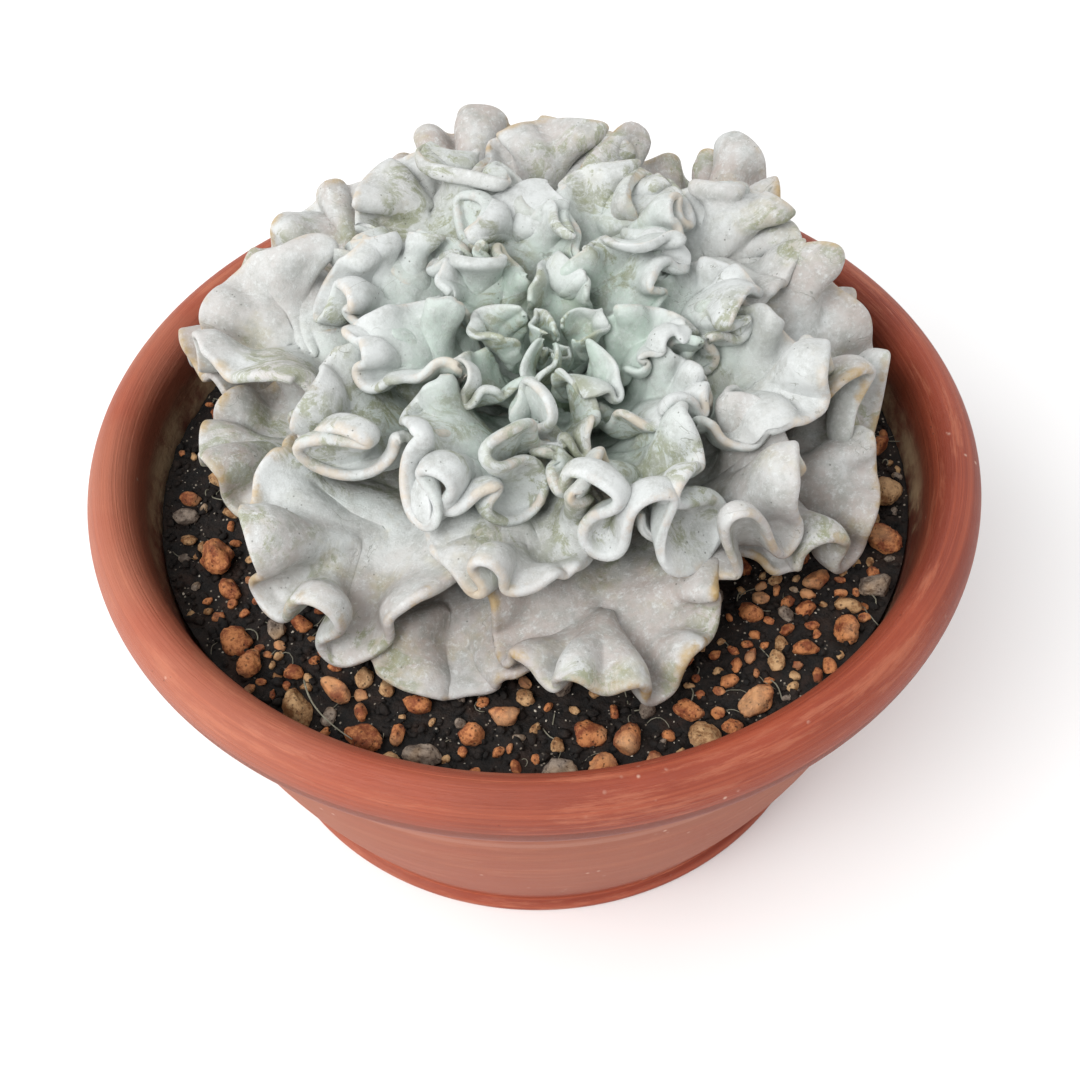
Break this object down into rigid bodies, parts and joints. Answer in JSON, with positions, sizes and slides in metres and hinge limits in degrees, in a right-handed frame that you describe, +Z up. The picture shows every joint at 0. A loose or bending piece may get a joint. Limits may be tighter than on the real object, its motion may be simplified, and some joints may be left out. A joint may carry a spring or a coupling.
{
  "type": "potted succulent",
  "caption": "Ruffled echeveria rosette with wavy blue-grey leaves, growing in a wide round terracotta bowl with a rolled rim, potting mix and clay granules.",
  "frame": {"origin": "centre of the bowl's flat underside, on the surface it stands on", "axes": "+Z up through the bowl's axis; the rosette leans and reaches lowest towards -Y, its front"},
  "size_m": [0.26, 0.26, 0.1633],
  "materials": {
    "terracotta": "unglazed fired clay with faint throwing lines, dusty below the rim",
    "potting_mix": "dark crumbly peat with pale specks",
    "stem_bark": "dry leaf scars",
    "leaf_heart": "mint green skin under thin white wax bloom",
    "leaf_grown": "pale blue-grey wax bloom with cream edges and rubbed green patches",
    "leaf_aged": "lilac-grey bloom with ochre edges",
    "clay_orange": "porous fired clay",
    "clay_tan": "porous fired clay",
    "clay_grey": "porous fired clay"
  },
  "bodies": {
    "root": {"pot": "terracotta", "potting_mix": "potting_mix", "stem": "stem_bark", "leaf_01": "leaf_heart", "leaf_02": "leaf_heart", "leaf_03": "leaf_heart", "leaf_04": "leaf_heart", "leaf_05": "leaf_heart", "leaf_06": "leaf_heart", "leaf_07": "leaf_heart", "leaf_08": "leaf_heart", "leaf_09": "leaf_heart", "leaf_10": "leaf_heart", "leaf_11": "leaf_heart", "leaf_12": "leaf_heart", "leaf_13": "leaf_grown", "leaf_14": "leaf_grown", "leaf_15": "leaf_grown", "leaf_16": "leaf_grown", "leaf_17": "leaf_grown", "leaf_18": "leaf_grown", "leaf_19": "leaf_grown", "leaf_20": "leaf_grown", "leaf_21": "leaf_grown", "leaf_22": "leaf_grown", "leaf_23": "leaf_grown", "leaf_24": "leaf_grown", "leaf_25": "leaf_grown", "leaf_26": "leaf_grown", "leaf_27": "leaf_aged", "leaf_28": "leaf_aged", "leaf_29": "leaf_aged", "leaf_30": "leaf_aged", "leaf_31": "leaf_aged", "leaf_32": "leaf_aged", "leaf_33": "leaf_aged", "leaf_34": "leaf_aged", "leaf_35": "leaf_aged", "leaf_36": "leaf_aged", "leaf_37": "leaf_aged", "leaf_38": "leaf_aged", "leaf_39": "leaf_aged", "leaf_40": "leaf_aged", "granule_01": "clay_orange", "granule_02": "clay_tan", "granule_03": "clay_orange", "granule_04": "clay_grey", "granule_05": "clay_orange", "granule_06": "clay_orange", "granule_07": "clay_tan", "granule_08": "clay_orange", "granule_09": "clay_grey", "granule_10": "clay_orange", "granule_11": "clay_tan", "granule_12": "clay_orange", "granule_13": "clay_orange", "granule_14": "clay_grey"}
  },
  "joints": []
}
